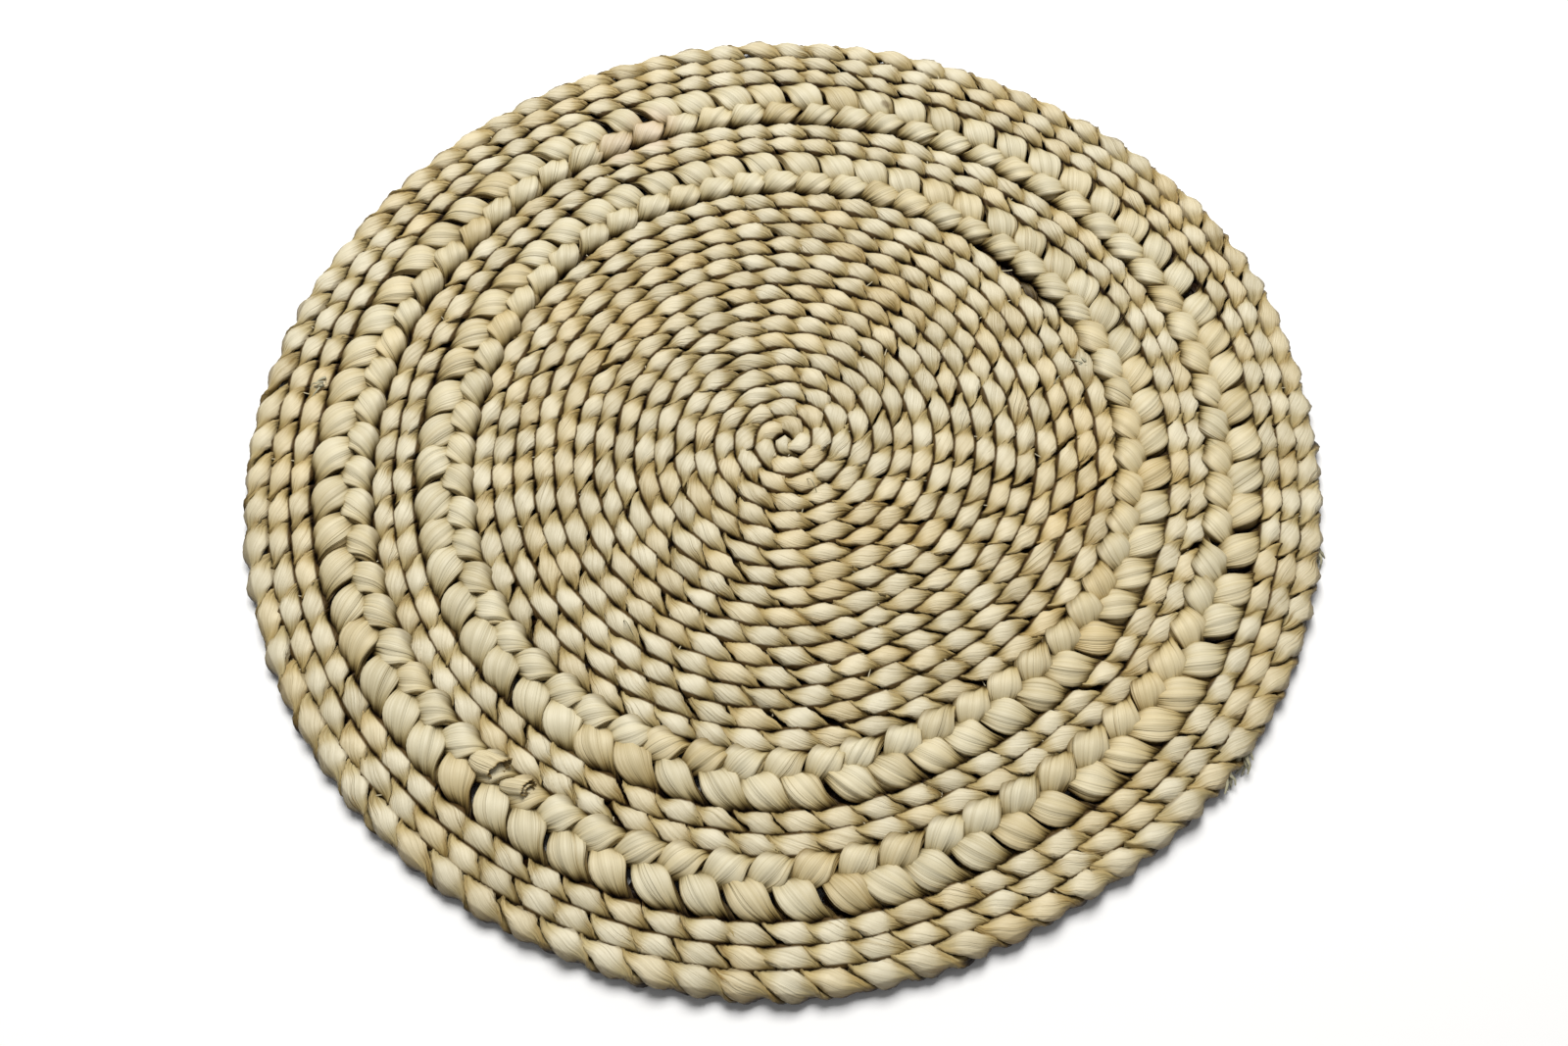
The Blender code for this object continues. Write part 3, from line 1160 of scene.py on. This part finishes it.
# %% Sizes of a stitch
STITCH = dict(offset=0.0035, height=0.0062, reach=0.0026, thickness=0.0005)
STITCH_STRAY = 0.006         # how far a stitch may lie from its even place along the row
STITCH_SLANT = 0.9
STITCH_SAG = 0.35            # how deep the strip sags, against its reach
STITCH_INPUTS = (
    ("Spacing", "NodeSocketFloat"),
    ("Offset", "NodeSocketFloat"),
    ("Height", "NodeSocketFloat"),
    ("Reach", "NodeSocketFloat"),
    ("Thickness", "NodeSocketFloat"),
    ("Seed", "NodeSocketInt"),
    ("Material", "NodeSocketMaterial"),
)


def stitch_tree():
    """The tree that lays short strips across the outer side of a row."""
    tree, given = new_tree("Stitches beside a row", STITCH_INPUTS)
    spaced = made(tree, "GeometryNodeResampleCurve", mode="LENGTH",
                  inputs={"Curve": given["Geometry"], "Length": given["Spacing"]})
    ahead = made(tree, "GeometryNodeInputTangent")
    side = sideways(tree, ahead)
    chance = made(tree, "FunctionNodeRandomValue", output=1, data_type="FLOAT",
                  inputs={2: -1.0, 3: 1.0, "Seed": given["Seed"]})
    offset = side * given["Offset"] + xyz(tree, 0, 0, 1) * given["Height"]
    places = made(tree, "GeometryNodeSetPosition",
                  {"Geometry": spaced, "Offset": offset + ahead * chance * STITCH_STRAY})
    reach = given["Reach"]
    strip = made(tree, "GeometryNodeCurveQuadraticBezier", {
        "Resolution": 5,
        "Start": xyz(tree, -reach, 0, 0),
        "Middle": xyz(tree, 0, 0, -reach * STITCH_SAG),
        "End": xyz(tree, reach, 0, 0),
    })
    turned = made(tree, "FunctionNodeAlignRotationToVector", axis="X",
                  inputs={"Vector": side + ahead * chance * STITCH_SLANT})
    copies = made(tree, "GeometryNodeInstanceOnPoints",
                  {"Points": places, "Instance": strip, "Rotation": turned})
    drawn = made(tree, "GeometryNodeRealizeInstances", {"Geometry": copies})
    section = made(tree, "GeometryNodeCurvePrimitiveCircle", mode="RADIUS",
                   inputs={"Resolution": 5, "Radius": given["Thickness"] / 2})
    strips = made(tree, "GeometryNodeCurveToMesh",
                  {"Curve": drawn, "Profile Curve": section, "Fill Caps": True})
    return finished(tree, strips, given["Material"])


stitches = stitch_tree()
print(len(stitches.nodes), "nodes in the tree of the stitches")


# %% Sewing the rows together
def sew(name, node, path_name, spacing, seed):
    """Stitches along the outer side of a row."""
    piece = dress(bpy.data.objects[path_name], stitches, name,
                  spacing=spacing, seed=seed, material=sewing_husk, **STITCH)
    settle(piece, node)


sew("coil_stitches", "centre_coil", "coil path", 0.055, 3)
for group, spacing in (("middle", 0.031), ("outer", 0.027)):
    for number in (1, 2):
        row = f"{group}_row_{number}"
        sew(f"{row}_stitches", f"{group}_cord_{number}", f"{row} path", spacing, number)
print("five rows of stitches")

# %% [markdown]
# ## Frayed husk
# Husk splits along its fibres, so where an end was tucked in badly a tuft of narrow blades comes
# out of the rim, and here and there a single fibre stands up in a loop. Each blade is a curve with
# a few points, and a tree gives all of them a flat section that gets narrower towards the tip.
# Hair would do it too, but these few blades have to become a plain mesh.

# %% The tree of the blades
BLADE_INPUTS = (
    ("Width", "NodeSocketFloat"),
    ("Thickness", "NodeSocketFloat"),
    ("Material", "NodeSocketMaterial"),
)


def blade_tree():
    """The tree that gives curves a flat section, as wide as their radius says."""
    tree, given = new_tree("Blades of husk", BLADE_INPUTS)
    section = made(tree, "GeometryNodeCurvePrimitiveCircle", mode="RADIUS",
                   inputs={"Resolution": 6, "Radius": 0.5})
    flat = made(tree, "GeometryNodeTransform", {
        "Geometry": section, "Scale": xyz(tree, given["Width"], given["Thickness"], 1),
    })
    strips = made(tree, "GeometryNodeCurveToMesh", {
        "Curve": given["Geometry"],
        "Profile Curve": flat,
        "Scale": made(tree, "GeometryNodeInputRadius"),
        "Fill Caps": True,
    })
    return finished(tree, strips, given["Material"])


def blade_path(name, lines):
    """One curve object with a spline for each blade, which narrows to a share of its width."""
    data = bpy.data.curves.new(name, "CURVE")
    data.dimensions = "3D"
    for places, tip in lines:
        spline = data.splines.new("POLY")
        spline.points.add(len(places) - 1)
        for number, (point, place) in enumerate(zip(spline.points, places)):
            point.co = (*place, 1)
            point.radius = 1 - (1 - tip) * number / (len(places) - 1)
    return added(name, data)


blades = blade_tree()
print(len(blades.nodes), "nodes in the tree of the blades")

# %% A tuft and a loop
BLADE_TIP = 0.25             # width of a blade's tip, as a share
FIBRE_TIP = 0.7
TUFT_SPREAD_MM = 2.2
TUFT_SPREAD_DEG = 22
TUFT_HEIGHT_MM = 1.2
BLADE_LENGTHS = (0.6, 1.1)   # shortest and longest, as shares
BLADE_RISES = (-0.1, 0.35)   # slopes at which blades leave the mat
BLADE_DROOP = 0.45           # how far a tip sinks, against the blade's reach
BLADE_BEND_DEG = 12
BLADE_STEPS = 4
LOWEST_MM = 0.5              # no blade comes nearer to the floor
FIBRE_STEPS = 10
FIBRE_ROOT_MM = 1.6          # how deep a fibre starts in the cord
CORD_TOP_MM = 7.6


def around_mat(degrees, radius, height, along=0.0):
    """A point in millimetres, from its angle and radius on the mat."""
    out = math.radians(degrees)
    return Vector((radius * math.cos(out) - along * math.sin(out),
                   radius * math.sin(out) + along * math.cos(out), height))


def towards(angle):
    """A level direction."""
    return Vector((math.cos(angle), math.sin(angle), 0))


def tuft(degrees, radius, height, count, length, lean):
    """Blades that leave one spot of the mat, spread a little and droop."""
    blades_made = []
    for _ in range(count):
        along = random.uniform(-TUFT_SPREAD_MM, TUFT_SPREAD_MM)
        lift = random.uniform(-TUFT_HEIGHT_MM, TUFT_HEIGHT_MM)
        start = around_mat(degrees, radius, height + lift, along)
        spread = random.uniform(-TUFT_SPREAD_DEG, TUFT_SPREAD_DEG)
        heading = math.radians(degrees) + math.radians(lean + spread)
        reach = length * random.uniform(*BLADE_LENGTHS)
        rise = random.uniform(*BLADE_RISES)
        places = []
        for step in range(BLADE_STEPS + 1):
            share = step / BLADE_STEPS
            bend = math.radians(random.uniform(-BLADE_BEND_DEG, BLADE_BEND_DEG))
            place = start + towards(heading + share * bend) * (reach * share)
            climb = rise * share - BLADE_DROOP * share * share
            place.z = max(LOWEST_MM, start.z + reach * climb)
            places.append(place / 1000)
        blades_made.append((places, BLADE_TIP))
    return blades_made


def fibre_loop(degrees, radius, length, height, turned):
    """One fibre that stands up in an arch."""
    middle = around_mat(degrees, radius, CORD_TOP_MM)
    heading = towards(math.radians(degrees + turned))
    places = []
    for step in range(FIBRE_STEPS + 1):
        share = step / FIBRE_STEPS
        place = middle + heading * (length * (share - 0.5))
        place.z += height * math.sin(math.pi * share) - FIBRE_ROOT_MM * (1 - share)
        places.append(place / 1000)
    return [(places, FIBRE_TIP)]


print("a tuft and a loop can be placed anywhere on the mat")

# %% Tufts on the rim and stray fibres
RIM_TUFTS = (
    # degrees, radius in millimetres, height, number of blades, length, degrees that they lean
    (349.6, 185.6, 5.0, 12, 8.5, -72),
    (346.0, 186.0, 4.5, 10, 7.0, -76),
    (324.0, 184.6, 5.0, 14, 8.0, -60),
    (320.5, 185.0, 4.0, 8, 6.0, -30),
    (214.0, 186.5, 4.5, 6, 5.0, 40),
    (210.5, 186.5, 4.0, 5, 5.0, 70),
    (145.0, 186.5, 5.0, 4, 4.5, 60),
)
PLAIT_TUFTS = (
    (173.5, 168.5, 8.5, 7, 6.0, 30),
    (17.0, 113.5, 8.0, 5, 6.0, 120),
)
LOOPS = (
    # degrees, radius in millimetres, length, height, degrees that they are turned
    (295.0, 20.0, 7.0, 4.5, 10),
    (234.8, 90.0, 7.0, 5.0, 70),
    (15.5, 100.5, 6.0, 2.0, 40),
    (280.0, 127.0, 9.0, 2.5, 85),
)

random.seed(11)
for name, node, make, spots, width, thickness in (
    ("rim_tufts", "outer_cord_3", tuft, RIM_TUFTS, 0.0021, 0.0004),
    ("plait_tufts", "outer_plait", tuft, PLAIT_TUFTS, 0.0012, 0.0003),
    ("stray_fibres", "centre_coil", fibre_loop, LOOPS, 0.0004, 0.0003),
):
    lines = [line for spot in spots for line in make(*spot)]
    piece = dress(blade_path(f"{name} path", lines), blades, name,
                  width=width, thickness=thickness, material=frayed_husk)
    settle(piece, node)
    print(f"{name}: {len(lines)} blades")

# %% [markdown]
# ## Cut ends
# Where a strand of the plait ran out, the maker laid in a new one and cut off the old, so two
# ragged mouths with brown lips show between the lobes, and the second holds a smaller layer of
# husk. Each is a closed shell: the outside runs to the lip and the inside runs back into the
# dark. The brown of the lips and the dark inside are painted as shade, from a depth marked on the
# mesh. The mesh is built ring by ring, because a tree would need as many nodes for one ragged
# edge as this has lines.

# %% The shape of a cut end
LIP_SIDES = 40
LIP_FROM = 0.7               # the share of the length where the lip starts
FIRST_INSIDE = 8
TUBE_RINGS = (
    # share of the length, share of the girth
    (0.0, 0.55), (0.15, 0.8), (0.35, 1.0), (0.6, 1.02), (0.8, 0.96), (0.92, 0.98),
    (1.0, 1.04), (1.0, 0.95), (0.93, 0.86), (0.7, 0.74), (0.5, 0.3),
)
RISE = 0.24                  # slope of the tube
RAGGED_MM = 0.35             # how uneven the lip is
CRINKLE = 0.08               # how uneven its girth is, as a share
FRILL = 0.10                 # and how wavy the lip
FRILL_WAVES = 5
LIP_FLAT = 0.3               # how far the lip's top sinks, in millimetres
LIP_DEPTH = 0.20             # how deep in shadow the lip and the inside are taken to lie


def cut_tube(degrees, radius, height, heading, length, width, thickness, slant, seed):
    """Points of a flattened tube, and for each its place along, its place around and its depth in
    painted shade.
    """
    random.seed(seed)
    start = around_mat(degrees, radius, height)
    ahead = (towards(math.radians(heading)) + Vector((0, 0, RISE))).normalized()
    side = ahead.cross(Vector((0, 0, 1))).normalized()
    top = side.cross(ahead)
    ragged = [random.uniform(-RAGGED_MM, RAGGED_MM) for _ in range(LIP_SIDES)]
    crinkle = [random.uniform(-CRINKLE, CRINKLE) for _ in range(LIP_SIDES)]
    points, marks = [], []
    for number, (share, size) in enumerate(TUBE_RINGS):
        lip = max(0.0, (share - LIP_FROM) / (1 - LIP_FROM))
        for step in range(LIP_SIDES):
            around = math.tau * step / LIP_SIDES
            across, up = math.cos(around), math.sin(around)
            frill = FRILL * lip * math.sin(FRILL_WAVES * around + seed)
            swell = size * (1 + crinkle[step] * (0.35 + lip) + frill)
            cut = ragged[step] - 0.5 * up * thickness - slant * across
            where = (start + ahead * (length * share + cut * lip)
                     + side * (across * width * swell)
                     + top * (up * thickness * swell - LIP_FLAT * lip * up ** 2))
            points.append(where / 1000)
            depth = LIP_DEPTH if number >= FIRST_INSIDE else LIP_DEPTH * lip ** 4
            marks.append((share * length / 1000, around, depth))
    return points, marks


def tube_faces():
    """Faces between the rings of a tube, with both ends closed."""
    faces = []
    for ring in range(len(TUBE_RINGS) - 1):
        for step in range(LIP_SIDES):
            here = ring * LIP_SIDES + step
            beside = ring * LIP_SIDES + (step + 1) % LIP_SIDES
            faces.append((here, beside, beside + LIP_SIDES, here + LIP_SIDES))
    last = (len(TUBE_RINGS) - 1) * LIP_SIDES
    faces.append(tuple(reversed(range(LIP_SIDES))))
    faces.append(tuple(range(last, last + LIP_SIDES)))
    return faces


print(len(tube_faces()), "faces in a cut end")

# %% Cut ends of husk
CUT_ENDS = (
    # degrees, radius, height in millimetres; heading; length; width; thickness; slant of the cut
    (230.6, 155.0, 8.6, -24, 11.0, 3.8, 1.7, 2.2),
    (235.6, 156.0, 8.6, -9, 9.6, 2.6, 1.9, 1.0),
    (235.8, 156.1, 8.6, -9, 9.8, 1.4, 1.1, 0.6),
)
# the lip's depth in shadow paints it brown, as painted shade
LIP_SHADE_BROWN = 8.0              # how strongly the depth of a lip turns it brown


def mark_points(mesh, label, values):
    """Stores one number for each point of a mesh."""
    mesh.attributes.new(label, "FLOAT", "POINT").data.foreach_set("value", values)


def cut_end(name, sizes, seed):
    """A flattened tube with a ragged open mouth."""
    points, marks = cut_tube(*sizes, seed)
    width = sizes[5] / 1000
    mesh = bpy.data.meshes.new(name)
    mesh.from_pydata(points, [], tube_faces())
    mesh.shade_smooth()
    for label, value in (("tone", 0.7), ("hue", 0.9), ("tucked", 0.0), ("groove", 0.0)):
        mark_points(mesh, label, [value] * len(points))
    # the lip and the inside are marked low and near an edge, so the finish paints them in shade
    mark_points(mesh, "height", [1 - depth for _, _, depth in marks])
    mark_points(mesh, "rim", [LIP_SHADE_BROWN * depth for _, _, depth in marks])
    grain = [
        part
        for along, around, _ in marks
        for part in (along + seed, math.cos(around) * width, math.sin(around) * width)
    ]
    mesh.attributes.new("grain", "FLOAT_VECTOR", "POINT").data.foreach_set("vector", grain)
    mesh.materials.append(plait_husk)
    settle(added(name, mesh), "outer_plait")
    print(f"{name}: {sizes[4]:.1f} mm long")


for number, sizes in enumerate(CUT_ENDS, 1):
    cut_end(f"cut_end_{number}", sizes, seed=number + 4)

# %% [markdown]
# ## Clearing up and comparing sizes
# The paths have done their work and are removed, so only the mat, the floor, the lamp and the
# camera are left. The box round the dressed mat is then written beside the box round the solids:
# husk may stand a little proud of them, but the mat may not grow.

# %% Remove the paths
paths = [thing for thing in bpy.data.objects if thing.type == "CURVE"]
print(len(paths), "paths removed")
for path in paths:
    bpy.data.objects.remove(path)

# %% Sizes against the solids
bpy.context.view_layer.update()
for label, (low, high) in (("solids", solid_box), ("dressed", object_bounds())):
    print(label, " x ".join(f"{1000 * (b - a):.1f}" for a, b in zip(low, high)), "mm")
